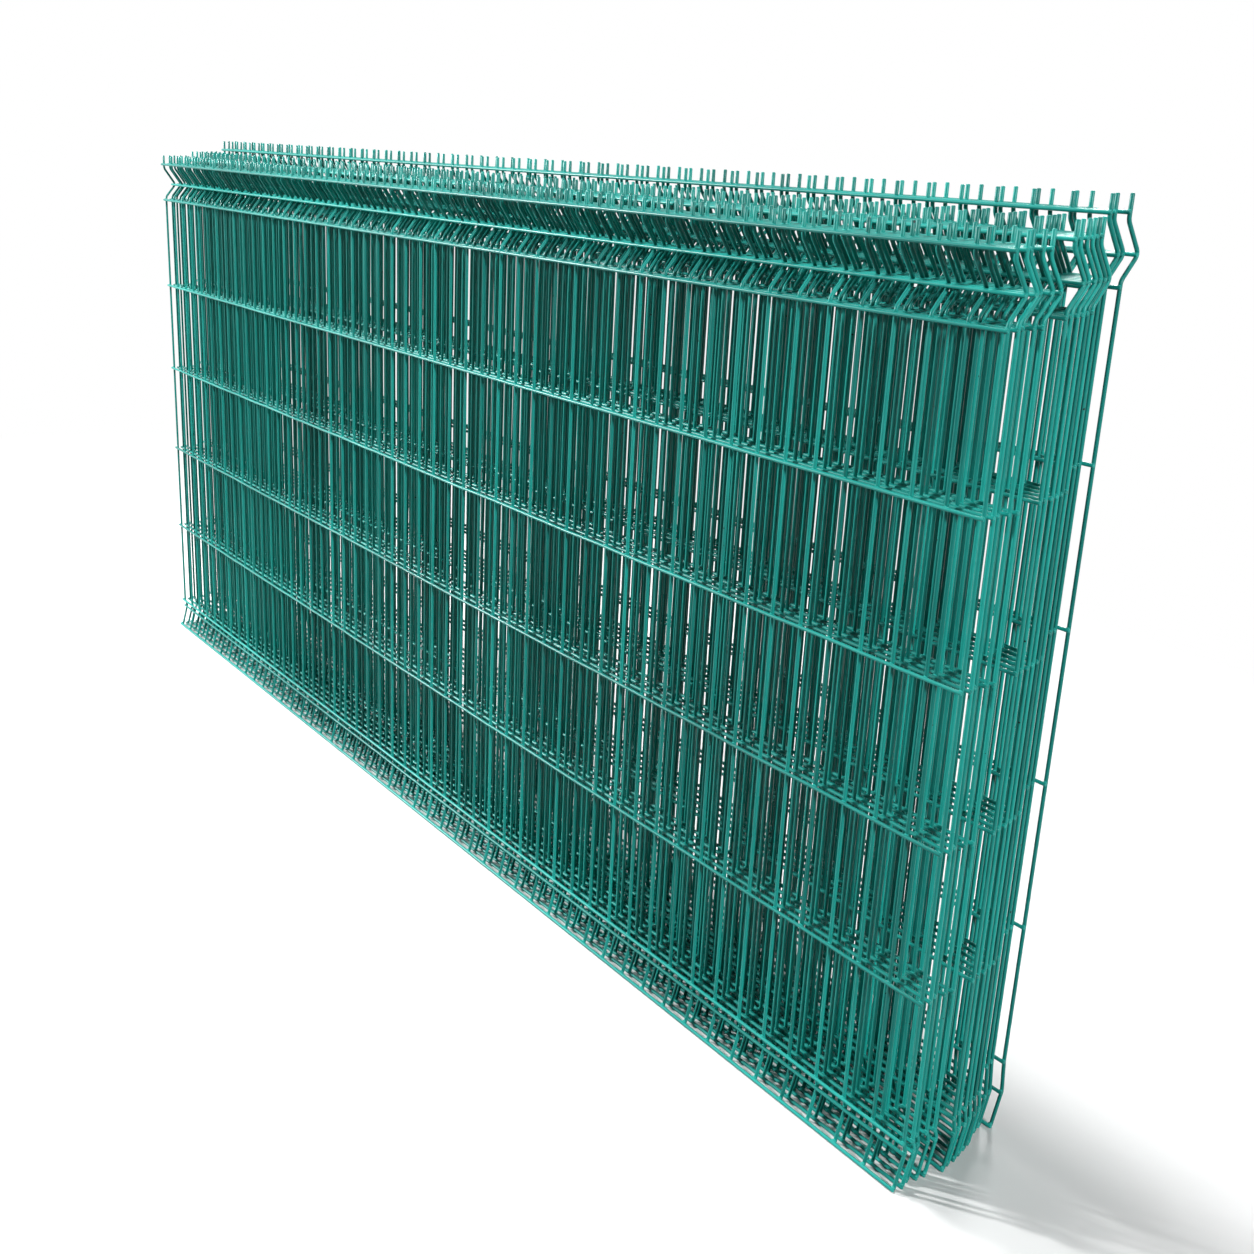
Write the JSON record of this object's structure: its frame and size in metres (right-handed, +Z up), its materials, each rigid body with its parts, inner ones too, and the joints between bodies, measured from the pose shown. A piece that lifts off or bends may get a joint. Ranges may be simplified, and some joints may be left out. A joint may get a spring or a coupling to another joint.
{
  "type": "nested pack of welded mesh fence panels",
  "caption": "Pack of green coated welded mesh fence panels standing on their long edges, nested fold in fold, with a bent top edge, barbs and a kicked-out bottom edge.",
  "frame": {"origin": "on the floor under the middle of the pack", "axes": "+X along the panels to the end shown near in the picture, +Y from the front panel to the rear one, +Z up"},
  "size_m": [2.4412, 0.2456, 1.2005],
  "materials": {
    "coated_wire": "glossy green polymer coating over steel wire"
  },
  "bodies": {
    "root": {"panel_01_mesh": "coated_wire", "panel_01_top_fold": "coated_wire", "panel_02_mesh": "coated_wire", "panel_02_top_fold": "coated_wire", "panel_03_mesh": "coated_wire", "panel_03_top_fold": "coated_wire", "panel_04_mesh": "coated_wire", "panel_04_top_fold": "coated_wire", "panel_05_mesh": "coated_wire", "panel_05_top_fold": "coated_wire", "panel_06_mesh": "coated_wire", "panel_06_top_fold": "coated_wire", "panel_07_mesh": "coated_wire", "panel_07_top_fold": "coated_wire", "panel_08_mesh": "coated_wire", "panel_08_top_fold": "coated_wire", "panel_09_mesh": "coated_wire", "panel_09_top_fold": "coated_wire", "panel_10_mesh": "coated_wire", "panel_10_top_fold": "coated_wire", "panel_11_mesh": "coated_wire", "panel_11_top_fold": "coated_wire", "panel_12_mesh": "coated_wire", "panel_12_top_fold": "coated_wire", "panel_13_mesh": "coated_wire", "panel_13_top_fold": "coated_wire", "panel_14_mesh": "coated_wire", "panel_14_top_fold": "coated_wire"}
  },
  "joints": []
}
